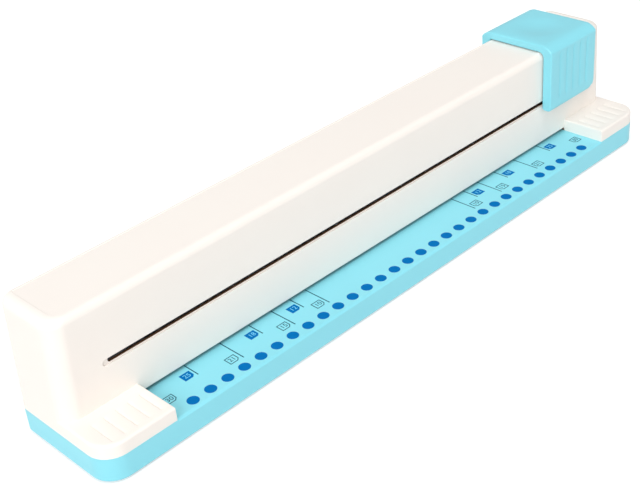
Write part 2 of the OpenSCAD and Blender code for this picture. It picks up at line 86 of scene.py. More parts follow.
# %% [markdown]
# ## Camera
# The photograph looks along the punch from its near left end, from above, with a moderate lens and a slight
# tilt. The camera's place, its three angles and its lens were solved from the row of printed dots, whose
# spacing is known. Building the matrix from the angles keeps every number readable.

# %% Camera
camera_place = Vector((-353.485, -348.164, 317.552)) * MM
azimuth, elevation, roll = (math.radians(angle) for angle in (-42.4684, 31.7398, -5.2865))
towards_camera = Vector((
    math.sin(azimuth) * math.cos(elevation),
    -math.cos(azimuth) * math.cos(elevation),
    math.sin(elevation),
))
camera_right = Z_AXIS.cross(towards_camera).normalized()
camera_up = towards_camera.cross(camera_right)
camera_turn = Matrix((camera_right, camera_up, towards_camera)).transposed() @ Matrix.Rotation(roll, 3, "Z")
camera_data = bpy.data.cameras.new("camera")
camera_data.sensor_fit = "HORIZONTAL"
camera_data.sensor_width = 36
camera_data.lens = 66.8437
camera_data.clip_start = 0.01
camera = bpy.data.objects.new("camera", camera_data)
camera.matrix_world = Matrix.Translation(camera_place) @ camera_turn.to_4x4()
bpy.context.scene.collection.objects.link(camera)
bpy.context.scene.camera = camera
print("camera", round(camera_data.lens, 2), "mm lens")

# %% [markdown]
# ## Nodes for the finishes
# A finish is a small tree of shader nodes. One function adds a node, sets its values and links it, so each
# finish below reads as a list. Colours are written as sRGB hex codes, as a colour picker shows them, and
# one function turns them into the linear numbers that the sockets take.


# %% Node helpers
def linear(hex_code):
    shares = [int(hex_code[i:i + 2], 16) / 255 for i in (1, 3, 5)]
    return (*(c / 12.92 if c <= 0.04045 else ((c + 0.055) / 1.055) ** 2.4 for c in shares), 1.0)


def add_node(material, kind, settings=None, inputs=None):
    node = material.node_tree.nodes.new(kind)
    for name, value in (settings or {}).items():
        setattr(node, name, value)
    for name, value in (inputs or {}).items():
        if isinstance(value, bpy.types.NodeSocket):
            material.node_tree.links.new(value, node.inputs[name])
        else:
            node.inputs[name].default_value = value
    return node


def new_finish(name):
    material = bpy.data.materials.new(name)
    material.use_nodes = True
    material.node_tree.nodes.clear()
    return material


print("linear white", linear("#ffffff"))

# %% [markdown]
# ## Moulded ABS
# The beam, the base and the slider are injection-moulded ABS. The mould is spark-eroded to a fine grain,
# which gives the plastic a satin look: broad soft highlights, and no mirror image. The grain is about 0.1
# mm on the real part, too fine to show here, so it is drawn at 0.5 mm and very shallow. A slow drift of
# colour and gloss, some centimetres wide, keeps large faces from looking painted.

# %% Moulded ABS
GRAIN_SIZE, GRAIN_DEPTH, DRIFT_SIZE = 0.5 * MM, 0.03 * MM, 70 * MM


def moulded_abs(name, colour, drift_colour, roughness):
    material = new_finish(name)
    place = add_node(material, "ShaderNodeTexCoord").outputs["Object"]
    grain = add_node(material, "ShaderNodeTexNoise", None, {
        "Vector": place, "Scale": 1 / GRAIN_SIZE, "Detail": 3.0, "Roughness": 0.6})
    drift = add_node(material, "ShaderNodeTexNoise", None, {
        "Vector": place, "Scale": 1 / DRIFT_SIZE, "Detail": 2.0, "Roughness": 0.5})
    tint = add_node(material, "ShaderNodeMix", {"data_type": "RGBA"}, {
        0: drift.outputs["Fac"], 6: linear(colour), 7: linear(drift_colour)})
    gloss = add_node(material, "ShaderNodeMapRange", None, {
        "Value": drift.outputs["Fac"], "From Min": 0.3, "From Max": 0.7,
        "To Min": roughness - 0.04, "To Max": roughness + 0.04})
    bump = add_node(material, "ShaderNodeBump", None, {
        "Height": grain.outputs["Fac"], "Strength": 0.12, "Distance": GRAIN_DEPTH})
    plastic = add_node(material, "ShaderNodeBsdfPrincipled", None, {
        "Base Color": tint.outputs[2], "Roughness": gloss.outputs["Result"], "IOR": 1.54,
        "Normal": bump.outputs["Normal"]})
    add_node(material, "ShaderNodeOutputMaterial", None, {"Surface": plastic.outputs["BSDF"]})
    return material


white_abs = moulded_abs("moulded_abs_white", "#f3ede6", "#f0e8e1", 0.42)
sky_abs = moulded_abs("moulded_abs_sky", "#84d4e2", "#89d9e7", 0.38)
print("moulded finishes:", white_abs.name, sky_abs.name)

# %% [markdown]
# ## Screen-printing ink
# The marks on the deck are screen-printed: thin, even, nearly matt ink that stops at a sharp edge. Pigment
# lies a little unevenly, so the colour drifts over a few millimetres, and a fine mottle breaks its gloss.

# %% Screen-printing ink
MOTTLE_SIZE = 2.5 * MM


def printing_ink(name, colour, thin_colour):
    material = new_finish(name)
    place = add_node(material, "ShaderNodeTexCoord").outputs["Object"]
    mottle = add_node(material, "ShaderNodeTexNoise", None, {
        "Vector": place, "Scale": 1 / MOTTLE_SIZE, "Detail": 3.0, "Roughness": 0.6})
    pigment = add_node(material, "ShaderNodeMix", {"data_type": "RGBA"}, {
        0: mottle.outputs["Fac"], 6: linear(colour), 7: linear(thin_colour)})
    gloss = add_node(material, "ShaderNodeMapRange", None, {
        "Value": mottle.outputs["Fac"], "To Min": 0.7, "To Max": 0.85})
    ink = add_node(material, "ShaderNodeBsdfPrincipled", None, {
        "Base Color": pigment.outputs[2], "Roughness": gloss.outputs["Result"], "IOR": 1.45,
        "Specular IOR Level": 0.05})
    add_node(material, "ShaderNodeOutputMaterial", None, {"Surface": ink.outputs["BSDF"]})
    return material


blue_ink = printing_ink("screen_ink_blue", "#0064a8", "#0070b6")
teal_ink = printing_ink("screen_ink_teal", "#0b4a60", "#12586e")
pale_ink = printing_ink("screen_ink_pale", "#6cc4e4", "#7ccdea")
print("inks:", blue_ink.name, teal_ink.name, pale_ink.name)

# %% [markdown]
# ## Steel
# The pins, rollers and plates inside are zinc-plated or ground steel. Both are drawn or rolled, so their
# gloss has streaks along the length of the punch: a noise that is stretched 40 to 1 along x. The carriage
# and the brackets are black-oxide steel, the same metal with a dark, duller skin.

# %% Steel
STREAK_SIZE, STREAK_DEPTH, STREAK_STRETCH = 0.4 * MM, 0.02 * MM, 40


def rolled_steel(name, colour, streak_colour, roughness):
    material = new_finish(name)
    place = add_node(material, "ShaderNodeTexCoord").outputs["Object"]
    stretched = add_node(material, "ShaderNodeMapping", None, {
        "Vector": place, "Scale": (1 / STREAK_STRETCH, 1, 1)})
    streaks = add_node(material, "ShaderNodeTexNoise", None, {
        "Vector": stretched.outputs["Vector"], "Scale": 1 / STREAK_SIZE, "Detail": 4.0})
    tint = add_node(material, "ShaderNodeMix", {"data_type": "RGBA"}, {
        0: streaks.outputs["Fac"], 6: linear(colour), 7: linear(streak_colour)})
    gloss = add_node(material, "ShaderNodeMapRange", None, {
        "Value": streaks.outputs["Fac"], "To Min": roughness - 0.1, "To Max": roughness + 0.1})
    bump = add_node(material, "ShaderNodeBump", None, {
        "Height": streaks.outputs["Fac"], "Strength": 0.15, "Distance": STREAK_DEPTH})
    metal = add_node(material, "ShaderNodeBsdfPrincipled", None, {
        "Base Color": tint.outputs[2], "Metallic": 1.0, "Roughness": gloss.outputs["Result"],
        "Normal": bump.outputs["Normal"]})
    add_node(material, "ShaderNodeOutputMaterial", None, {"Surface": metal.outputs["BSDF"]})
    return material


bright_steel = rolled_steel("zinc_plated_steel", "#c3c6ca", "#aeb1b6", 0.32)
black_steel = rolled_steel("black_oxide_steel", "#4a4745", "#383634", 0.48)
print("steels:", bright_steel.name, black_steel.name)

# %% [markdown]
# ## Rubber and the painted shade inside the beam
# The feet and the bumpers are moulded rubber. The inner walls of the beam get a dark brown colour that is
# painted shade: it stands in for the deep shade inside the slot and the throat, and it makes the slot look
# black. Both swallow light: a high roughness, a dark colour, and a grain that is drawn at 0.8 mm for rubber
# and at 0.4 mm for the painted shade.

# %% Rubber and painted shade lining
PORE_DEPTH = 0.05 * MM


def matt_dark(name, colour, fleck_colour, grain_mm, roughness):
    material = new_finish(name)
    place = add_node(material, "ShaderNodeTexCoord").outputs["Object"]
    grain = add_node(material, "ShaderNodeTexNoise", None, {
        "Vector": place, "Scale": 1 / (grain_mm * MM), "Detail": 4.0, "Roughness": 0.7})
    flecks = add_node(material, "ShaderNodeMix", {"data_type": "RGBA"}, {
        0: grain.outputs["Fac"], 6: linear(colour), 7: linear(fleck_colour)})
    bump = add_node(material, "ShaderNodeBump", None, {
        "Height": grain.outputs["Fac"], "Strength": 0.3, "Distance": PORE_DEPTH})
    surface = add_node(material, "ShaderNodeBsdfPrincipled", None, {
        "Base Color": flecks.outputs[2], "Roughness": roughness, "IOR": 1.52,
        "Specular IOR Level": 0.3, "Normal": bump.outputs["Normal"]})
    add_node(material, "ShaderNodeOutputMaterial", None, {"Surface": surface.outputs["BSDF"]})
    return material


black_rubber = matt_dark("moulded_rubber_black", "#2b2b2d", "#353538", 0.8, 0.8)
# Painted shade: a dark brown on the beam's inner walls stands in for the shade inside the slot and the
# throat.
painted_shade_lining = matt_dark("painted_shade_inner_walls", "#5e4028", "#6e4c30", 0.4, 0.95)
finish_of_slot = {
    "white_plastic": white_abs, "sky_plastic": sky_abs, "steel": bright_steel,
    "dark_steel": black_steel, "rubber": black_rubber,
}
print("finishes by slot:", sorted(finish_of_slot))

# %% [markdown]
# ## From a bmesh to a piece
# Each moulding below is built in a bmesh and becomes an object here. All faces are shaded smooth, edges
# sharper than 28 degrees are marked sharp, and the Weighted Normal modifier lets the large flat faces rule
# the shading, so that flats stay flat and only the fillets between them roll the light.

# %% Piece helper
SHARP_ANGLE = math.radians(28)


def make_piece(bm, name, finishes, body, slot=None, *replaced):
    bm.normal_update()
    for face in bm.faces:
        face.smooth = True
    for edge in bm.edges:
        edge.smooth = edge.is_manifold and edge.calc_face_angle(0) < SHARP_ANGLE
    mesh = bpy.data.meshes.new(name)
    bm.to_mesh(mesh)
    bm.free()
    for finish in finishes:
        mesh.materials.append(finish)
    piece = bpy.data.objects.new(name, mesh)
    bpy.context.scene.collection.objects.link(piece)
    piece.modifiers.new("flat faces rule", "WEIGHTED_NORMAL").keep_sharp = True
    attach(piece, body)
    if replaced:
        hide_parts(*replaced)
    print(name, len(mesh.vertices), "points", len(mesh.polygons), "faces")
    return piece


print("edges over", round(math.degrees(SHARP_ANGLE)), "degrees stay sharp")

# %% [markdown]
# ## Rings and lofts
# The beam and its finger pads are rounded boxes with a different radius on almost every edge. A bevel has
# one width for all its edges, so the boxes are lofted instead: a rounded rectangle is drawn at each height,
# drawn in a little further at each step of a fillet, and neighbouring rings are bridged. Each ring has the
# same number of points, so the bridges are clean rows of quads.

# %% Ring and loft helpers
ARC_STEPS = 8
fillet_steps = [math.sin(math.radians(90 * k / ARC_STEPS)) for k in range(ARC_STEPS + 1)]


def bevel(bm, parts, radius, steps=ARC_STEPS, affect="EDGES", clamp=True):
    bmesh.ops.bevel(bm, geom=parts, offset=radius, offset_type="OFFSET", affect=affect,
                    segments=steps, profile=0.5, material=-1, clamp_overlap=clamp)


def plan_ring(bm, low, high, z, radius_at):
    known = set(bm.faces)
    corners = bmesh.ops.create_grid(bm, x_segments=1, y_segments=1, size=1)["verts"]
    radii = [radius_at(corner.co.x > 0, corner.co.y > 0) for corner in corners]
    for corner in corners:
        corner.co = (high[0] if corner.co.x > 0 else low[0],
                     high[1] if corner.co.y > 0 else low[1], z)
    for corner, radius in zip(corners, radii):
        bevel(bm, [corner], radius, affect="VERTICES")
    ring, = set(bm.faces) - known
    return ring


def loft(bm, rings):
    loops = [ring.edges[:] for ring in rings]
    bmesh.ops.delete(bm, geom=rings[1:-1], context="FACES_ONLY")
    for lower, upper in zip(loops, loops[1:]):
        bmesh.ops.bridge_loops(bm, edges=lower + upper)
    bmesh.ops.recalc_face_normals(bm, faces=bm.faces[:])


def roll_in(z, top, drop):
    rise = min(max(z - (top - drop), 0) / drop, 1)
    return 1 - math.sqrt(1 - rise ** 2)


print("a rounded corner has", ARC_STEPS, "steps")

# %% [markdown]
# ## Pulling and cutting faces
# A flat outline becomes a solid by pulling its face along. Grip grooves lie in flat faces: a plane cut
# across a face leaves new edges exactly where they are needed, so a V-groove is three cuts side by side
# with its middle line pushed in. Only the chosen face is cut, and the fillets around it stay as they are.

# %% Pulling and cutting helpers
ALIGNED = 0.99


def pull(bm, faces, way):
    pulled = bmesh.ops.extrude_face_region(bm, geom=faces)["geom"]
    bmesh.ops.translate(bm, vec=way, verts=[v for v in pulled if isinstance(v, bmesh.types.BMVert)])
    bmesh.ops.recalc_face_normals(bm, faces=bm.faces[:])


def flat_face(bm, facing, reach):
    level = [f for f in bm.faces if f.normal @ facing > ALIGNED
             and abs(f.calc_center_median() @ facing - reach) < TOUCH]
    return max(level, key=lambda f: f.calc_area())


def cut(bm, faces, place, direction):
    near = {*faces, *(e for f in faces for e in f.edges), *(v for f in faces for v in f.verts)}
    made = bmesh.ops.bisect_plane(bm, geom=list(near), plane_co=place, plane_no=direction,
                                  dist=TOUCH / 10)
    return [part for part in made["geom"] if isinstance(part, bmesh.types.BMFace)]


def v_grooves(bm, face, along, centres, run, width, depth, ramp):
    inwards = -face.normal.copy()
    faces = [face]
    for centre in centres:
        for step in (-width / 2, 0, width / 2):
            faces = cut(bm, faces, X_AXIS * (centre + step), X_AXIS)
    for stop in (run[0], run[0] + ramp, run[1] - ramp, run[1]):
        faces = cut(bm, faces, along * stop, along)
    for point in {v for f in faces for v in f.verts}:
        on_line = any(abs(point.co.x - centre) < TOUCH for centre in centres)
        if on_line and run[0] + ramp / 2 < point.co @ along < run[1] - ramp / 2:
            point.co += inwards * depth


print("pulling and cutting helpers ready")

# %% [markdown]
# ## The white housing: beam
# The beam is a moulded cover. Its ends lean in towards the top, its top rolls over in front and, more
# slowly, at the ends, and its back edge is nearly sharp. A flat panel on top lies a hair lower than the rim
# around it. The outside is lofted as a closed block, because the hollow and the openings can then be taken
# out of it.

# %% Beam block
FRONT_ROLL, END_ROLL, ROLL_DROP = 3 * MM, 5 * MM, 3.6 * MM
BACK_EDGE_R, END_LEAN = 1 * MM, 2.2 * MM
BEAM_CORNER_R, BACK_CORNER_R = 8 * MM, 4 * MM
CORNER_LOSS, BACK_CORNER_LOSS = 2.5 * MM, 2 * MM
PANEL_RIM, PANEL_STEP = 0.5 * MM, 0.2 * MM


def end_at(z):
    return half_len - END_LEAN * (z - deck_z) / (beam_top - deck_z)


def beam_ring(bm, z):
    share = roll_in(z, beam_top, ROLL_DROP)
    end = end_at(z) - END_ROLL * share
    rear = back_y - BACK_EDGE_R * roll_in(z, beam_top, BACK_EDGE_R)
    front_r, rear_r = BEAM_CORNER_R - CORNER_LOSS * share, BACK_CORNER_R - BACK_CORNER_LOSS * share
    return plan_ring(bm, (-end, beam_front + FRONT_ROLL * share), (end, rear), z,
                     lambda right, at_rear: rear_r if at_rear else front_r)


beam = bmesh.new()
beam_levels = [deck_z] + [beam_top - ROLL_DROP + ROLL_DROP * step for step in fillet_steps]
beam_rings = [beam_ring(beam, z) for z in beam_levels]
loft(beam, beam_rings)
bmesh.ops.inset_region(beam, faces=[beam_rings[-1]], thickness=PANEL_RIM)
bmesh.ops.inset_region(beam, faces=[beam_rings[-1]], thickness=PANEL_STEP, depth=-PANEL_STEP)
print("beam block", len(beam.faces), "faces")

# %% [markdown]
# ## The white housing: finger pads
# A low pad at each end of the deck guides the sheet between them and gives the other hand a hold. Its upper
# edges are rounded, its inner edge, which meets the paper, is nearly sharp, and five grip grooves run
# across its top.

# %% Finger pads
PAD_H, PAD_R, PAD_IN_R, FRONT_CORNER_R = 6.5 * MM, 1.2 * MM, 0.6 * MM, 11 * MM
PAD_TIP_R, HIDDEN_R = 0.3 * MM, 0.05 * MM
GROOVE_COUNT, GROOVE_PITCH, GROOVE_W, GROOVE_DEPTH = 5, 6.1 * MM, 1.6 * MM, 0.6 * MM
PAD_GROOVE_IN, PAD_GROOVE_EDGE = 4.1 * MM, 3.2 * MM
PAD_GROOVE_LEN, PAD_GROOVE_RAMP = 15 * MM, 0.8 * MM
pad_top = deck_z + PAD_H
pad_levels = [deck_z] + [pad_top - PAD_R + PAD_R * step for step in fillet_steps]


def pad_ring(bm, z):
    outer = PAD_R * roll_in(z, pad_top, PAD_R)
    inner = PAD_IN_R * roll_in(z, pad_top, PAD_IN_R)
    radii = {(False, False): PAD_TIP_R, (True, False): FRONT_CORNER_R - outer}
    return plan_ring(bm, (PAD_X + inner, front_y + outer),
                     (end_at(z) - outer, beam_front + BEAM_CORNER_R), z,
                     lambda right, at_rear: radii.get((right, at_rear), HIDDEN_R))


def finger_pad(side):
    bm = bmesh.new()
    loft(bm, [pad_ring(bm, z) for z in pad_levels])
    groove_start = front_y + PAD_GROOVE_EDGE
    v_grooves(bm, flat_face(bm, Z_AXIS, pad_top), Y_AXIS,
              [PAD_X + PAD_GROOVE_IN + k * GROOVE_PITCH for k in range(GROOVE_COUNT)],
              (groove_start, groove_start + PAD_GROOVE_LEN), GROOVE_W, GROOVE_DEPTH, PAD_GROOVE_RAMP)
    bmesh.ops.scale(bm, vec=(side, 1, 1), verts=bm.verts[:])
    bmesh.ops.recalc_face_normals(bm, faces=bm.faces[:])
    return bm


pads = [finger_pad(-1), finger_pad(1)]
print("each pad", len(pads[0].faces), "faces")

# %% [markdown]
# ## The white housing: hollow, slots and throat
# The cover is hollow. Its front and back have a long slot for the carriage's ears: a narrow slit inside a
# shallow recess with round ends. A low throat under its front takes the sheet. Each of these is a solid of
# its own that is taken away from the block. The faces that the hollow, the slit and the throat leave inside
# take a dark brown colour, painted shade for the deep shade in there. The radius at a slot's end is a hair
# under half its height, so that its two arcs don't meet in one point.

# %% Hollow, slots and throat
HOUSING_WALL, THROAT_H, CUT_OVER = 2.2 * MM, 1.6 * MM, 1 * MM
SLIT_H, SLIT_HALF = 2.4 * MM, 160.9 * MM
RECESS_H, RECESS_HALF, RECESS_D = 3.2 * MM, 164.0 * MM, 1 * MM
SLOT_RISE, ROUND_END = 24.6 * MM, 0.499
slot_z = deck_z + SLOT_RISE


def slot_solid(half, height, from_y, to_y):
    bm = bmesh.new()
    outline = plan_ring(bm, (-half, slot_z - height / 2), (half, slot_z + height / 2), 0,
                        lambda right, at_rear: ROUND_END * height)
    for point in bm.verts:
        point.co = (point.co.x, from_y, point.co.y)
    pull(bm, [outline], Y_AXIS * (to_y - from_y))
    return bm


def block(low, high):
    bm = bmesh.new()
    bmesh.ops.create_cube(bm, size=1)
    bmesh.ops.scale(bm, vec=[b - a for a, b in zip(low, high)], verts=bm.verts[:])
    bmesh.ops.translate(bm, vec=[(a + b) / 2 for a, b in zip(low, high)], verts=bm.verts[:])
    return bm


def hollow_ring(bm, z):
    inner_end = half_len - END_LEAN - HOUSING_WALL
    return plan_ring(bm, (-inner_end, beam_front + HOUSING_WALL), (inner_end, back_y - HOUSING_WALL), z,
                     lambda right, at_rear: (BACK_CORNER_R if at_rear else BEAM_CORNER_R) - HOUSING_WALL)


hollow = bmesh.new()
loft(hollow, [hollow_ring(hollow, z) for z in (deck_z - CUT_OVER, beam_top - HOUSING_WALL)])
slit = slot_solid(SLIT_HALF, SLIT_H, beam_front - CUT_OVER, back_y + CUT_OVER)
recesses = [slot_solid(RECESS_HALF, RECESS_H, beam_front - CUT_OVER, beam_front + RECESS_D),
            slot_solid(RECESS_HALF, RECESS_H, back_y - RECESS_D, back_y + CUT_OVER)]
throat = block((-PAD_X, beam_front - CUT_OVER, deck_z - CUT_OVER),
               (PAD_X, beam_front + HOUSING_WALL + CUT_OVER, deck_z + THROAT_H))
# Painted shade: the faces that these solids leave inside take the dark brown second finish.
for face in [*hollow.faces, *slit.faces, *throat.faces]:
    face.material_index = 1
print("solids to take away:", 3 + len(recesses))

# %% [markdown]
# ## The white housing: one moulding
# Cutting the openings into the mesh by hand would leave awkward faces around every corner. Boolean
# modifiers do it exactly: the pads are added to the block, then the hollow, the throat and the slots are
# taken away. A Boolean leaves knife edges, which no mould gives, so the lips of the slots and of the throat
# are rounded at the end.

# %% Carving helpers
SQUARE_ANGLE = 1.0


def carved(bm, added, removed, finishes):
    objects = []
    for part in (bm, *added, *removed):
        mesh = bpy.data.meshes.new("carving")
        part.to_mesh(mesh)
        part.free()
        for finish in finishes:
            mesh.materials.append(finish)
        objects.append(bpy.data.objects.new("carving", mesh))
        bpy.context.scene.collection.objects.link(objects[-1])
    for number, other in enumerate(objects[1:]):
        step = objects[0].modifiers.new("carving", "BOOLEAN")
        step.operation = "UNION" if number < len(added) else "DIFFERENCE"
        step.solver, step.object = "EXACT", other
    whole = bmesh.new()
    whole.from_object(objects[0], bpy.context.evaluated_depsgraph_get())
    for part in objects:
        bpy.data.meshes.remove(part.data)
    return whole


def lip_edges(bm, place_y, mid_z, reach):
    return [e for e in bm.edges if e.is_manifold and e.calc_face_angle(0) > SQUARE_ANGLE
            and all(abs(v.co.y - place_y) < TOUCH and abs(v.co.z - mid_z) < reach for v in e.verts)]


print("edges over", round(math.degrees(SQUARE_ANGLE)), "degrees count as square")

# %% Housing
SLOT_LIP_R, THROAT_LIP_R = 0.25 * MM, 0.7 * MM
# The second finish, painted shade, goes on the inner faces of the hollow, the slit and the throat.
housing = carved(beam, pads, [hollow, throat, *recesses, slit], [white_abs, painted_shade_lining])
for wall_y in (beam_front, back_y):
    bevel(housing, lip_edges(housing, wall_y, slot_z, RECESS_H), SLOT_LIP_R, steps=2)
bevel(housing, lip_edges(housing, beam_front, deck_z + THROAT_H, TOUCH), THROAT_LIP_R, steps=4)
bmesh.ops.remove_doubles(housing, verts=housing.verts[:], dist=2 * TOUCH)
bmesh.ops.dissolve_degenerate(housing, dist=2 * TOUCH, edges=housing.edges[:])
print("open edges:", sum(not e.is_manifold for e in housing.edges))
make_piece(housing, "housing_moulding", [white_abs, painted_shade_lining], "frame", "white_plastic", "housing")

# %% [markdown]
# ## The blue base
# The base carries the deck, the die plate and the feet, and its underside has pockets, ribs and screw holes
# that the CAD already has right. It is copied from the CAD node: the loose triangles are merged, flat
# patches are joined into single faces, and the edges that a hand or the light meets are rounded.

# %% Base helpers
FLAT_ANGLE, DECK_CHAMFER, WALL_TILT = math.radians(0.5), 1 * MM, 0.1
nodes = frame["nodes"]


def copy_of(node):
    bm = bmesh.new()
    bm.from_mesh(nodes[node].data)
    bmesh.ops.remove_doubles(bm, verts=bm.verts[:], dist=TOUCH)
    bmesh.ops.dissolve_limit(bm, angle_limit=FLAT_ANGLE, verts=bm.verts[:], edges=bm.edges[:],
                             use_dissolve_boundaries=False)
    return bm


def edges_at(bm, y, z):
    return [e for e in bm.edges
            if all(abs(v.co.y - y) < TOUCH and abs(v.co.z - z) < TOUCH for v in e.verts)]


def outer_rim(bm, z):
    rim = []
    for edge in bm.edges:
        if any(abs(v.co.z - z) > TOUCH for v in edge.verts):
            continue
        mid = (edge.verts[0].co + edge.verts[1].co) / 2
        at_end = abs(mid.x) > half_len - FRONT_CORNER_R
        at_side = min(mid.y - front_y, back_y - mid.y) < TOUCH
        outwards = Vector((mid.x if at_end else 0, mid.y - (front_y + back_y) / 2, 0))
        walls = [f for f in edge.link_faces if abs(f.normal.z) < WALL_TILT and f.normal @ outwards > 0]
        full_height = walls and max(v.co.z for v in walls[0].verts) > deck_z - 2 * DECK_CHAMFER
        if full_height and (at_side or at_end):
            rim.append(edge)
    return rim


base_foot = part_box("base_shell")[0].z
print("base from z", round(base_foot, 4), "to", round(deck_z, 4))

# %% Base
DECK_EDGE_R, BASE_RIM_R = 0.4 * MM, 0.8 * MM
base = copy_of("base_shell")
deck_edges = edges_at(base, front_y, deck_z - DECK_CHAMFER) + edges_at(base, front_y + DECK_CHAMFER, deck_z)
bevel(base, deck_edges, DECK_EDGE_R, steps=2)
base_rim = outer_rim(base, base_foot)
bevel(base, base_rim, BASE_RIM_R, steps=3)
print("rounded", len(base_rim), "edges under the base")
make_piece(base, "base_moulding", [sky_abs], "frame", "sky_plastic", "base_shell")

# %% [markdown]
# ## The slider
# The slider is an upturned U that rides over the beam. Its roof rolls down to both sides in a broad
# shoulder, which meets the side at a soft crease. It could be lofted like the beam, but its section is the
# same all along. So the section is drawn with ten points, each corner gets its own radius, and the section
# is pulled along x. One bevel breaks the edges of both ends.

# %% Slider
SKIRT_T, SKIRT_EDGE_R, SLIDER_GAP = 5.4 * MM, 1.8 * MM, 0.3 * MM
SHOULDER_W, SHOULDER_DROP = 2.7 * MM, 3.3 * MM
SHOULDER_ROLL, SHOULDER_BREAK = 3.6 * MM, 0.6 * MM
SLIDER_END_R = 0.9 * MM
slider_low, slider_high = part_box("slider_cap")
channel_front, channel_back = slider_low.y + SKIRT_T, slider_high.y - SKIRT_T
channel_top = beam_top + SLIDER_GAP
section = [
    (slider_low.y, slider_low.z, SKIRT_EDGE_R),
    (slider_low.y, slider_high.z - SHOULDER_DROP, SHOULDER_BREAK),
    (slider_low.y + SHOULDER_W, slider_high.z, SHOULDER_ROLL),
    (slider_high.y - SHOULDER_W, slider_high.z, SHOULDER_ROLL),
    (slider_high.y, slider_high.z - SHOULDER_DROP, SHOULDER_BREAK),
    (slider_high.y, slider_low.z, SKIRT_EDGE_R),
    (channel_back, slider_low.z, SKIRT_EDGE_R), (channel_back, channel_top, BACK_EDGE_R),
    (channel_front, channel_top, FRONT_ROLL), (channel_front, slider_low.z, SKIRT_EDGE_R),
]
slider = bmesh.new()
section_points = [slider.verts.new((slider_low.x, y, z)) for y, z, _ in section]
slider.faces.new(section_points)
for point, (_, _, radius) in zip(section_points, section):
    bevel(slider, [point], radius, affect="VERTICES")
pull(slider, slider.faces[:], X_AXIS * (slider_high.x - slider_low.x))
end_rims = [e for e in slider.edges if abs(e.verts[0].co.x - e.verts[1].co.x) < TOUCH]
bevel(slider, end_rims, SLIDER_END_R, steps=3, clamp=False)
print("slider", len(slider.faces), "faces")

# %% [markdown]
# ## The slider's round corner
# The lower corner away from the camera is round. A bevel there would run into the broken edges around it.
# Instead, cuts across the skirts give the corner points, and each point moves from its place in the square
# corner to a place on an arc, just as far from the outline as before.

# %% Slider corner
SKIRT_CORNER_R, CORNER_CUTS = 5.5 * MM, 5
corner_start, corner_top = slider_high.x - SKIRT_CORNER_R, slider_low.z + SKIRT_CORNER_R
corner_steps = [SKIRT_CORNER_R * math.tan(math.pi / 4 * k / CORNER_CUTS) for k in range(CORNER_CUTS)]
for step in corner_steps:
    cut(slider, slider.faces[:], X_AXIS * (corner_start + step), X_AXIS)
for step in corner_steps:
    near_end = [f for f in slider.faces if f.calc_center_median().x > corner_start]
    cut(slider, near_end, Z_AXIS * (corner_top - step), Z_AXIS)
for point in slider.verts:
    to_end, to_foot = slider_high.x - point.co.x, point.co.z - slider_low.z
    if max(to_end, to_foot) < SKIRT_CORNER_R:
        radius = SKIRT_CORNER_R - min(to_end, to_foot)
        turn = math.atan((SKIRT_CORNER_R - max(to_end, to_foot)) / radius)
        turn = turn if to_foot < to_end else math.pi / 2 - turn
        point.co.x = corner_start + radius * math.sin(turn)
        point.co.z = corner_top - radius * math.cos(turn)
print("slider with its corner", len(slider.faces), "faces")

# %% [markdown]
# ## The slider's grip
# Grip grooves run down both sides and fade out at their ends, and the roof has a shallow dish for a thumb.
# The dish could be a Boolean with a ball, but that leaves a hard rim, so it is pressed into a grid of cuts
# with a curve that starts and ends level.

# %% Slider grip
GRIP_DOWN, GRIP_LEN, GRIP_RAMP = 0.2 * MM, 27.6 * MM, 2.5 * MM
slider_mid = (slider_low.x + slider_high.x) / 2
groove_top = slider_high.z - SHOULDER_DROP - SHOULDER_BREAK - GRIP_DOWN
grip_centres = [slider_mid + (k - (GROOVE_COUNT - 1) / 2) * GROOVE_PITCH for k in range(GROOVE_COUNT)]
for facing, reach in ((-Y_AXIS, -slider_low.y), (Y_AXIS, slider_high.y)):
    v_grooves(slider, flat_face(slider, facing, reach), Z_AXIS, grip_centres,
              (groove_top - GRIP_LEN, groove_top), GROOVE_W, GROOVE_DEPTH, GRIP_RAMP)
print("grooves on each side:", len(grip_centres))

# %% Thumb dish
DISH_R, DISH_DEPTH, DISH_CUTS = 15 * MM, 1.1 * MM, 24
roof = [flat_face(slider, Z_AXIS, slider_high.z)]
dish_mid = Vector((slider_mid, beam_mid, slider_high.z))
for k in range(DISH_CUTS + 1):
    step = DISH_R * (2 * k / DISH_CUTS - 1)
    for axis in (X_AXIS, Y_AXIS):
        roof = cut(slider, roof, dish_mid + axis * step, axis)
for point in {v for f in roof for v in f.verts}:
    share = (point.co - dish_mid).length / DISH_R
    if share < 1:
        point.co.z -= DISH_DEPTH * (1 - share ** 2) ** 2
bmesh.ops.recalc_face_normals(slider, faces=slider.faces[:])
make_piece(slider, "slider_moulding", [sky_abs], "slider", "sky_plastic", "slider_cap")

# %% [markdown]
# ## Printed marks
# The deck is printed with a dot for each hole and with short lines and tags that show where sheets of
# common widths lie. A texture could draw them, but its edges blur close up. So each mark is a thin layer of
# ink, 0.04 mm proud of the deck: it is real geometry with a sharp edge, and it rides on the frame. Sizes
# are in millimetres.

# %% Ink helpers
INK_T = 0.04 * MM


def ink_patch(bm, outline):
    bm.faces.new([bm.verts.new((x * MM, y * MM, deck_z)) for x, y in outline])


def ink_bar(bm, x0, y0, x1, y1):
    ink_patch(bm, [(x0, y0), (x1, y0), (x1, y1), (x0, y1)])


print("ink is", INK_T / MM, "mm thick")

# %% [markdown]
# ## Dots
# One dot marks the place of each hole, at the pitch of loose-leaf paper. Each is a filled circle, and all
# thirty are pulled up together by the thickness of the ink.

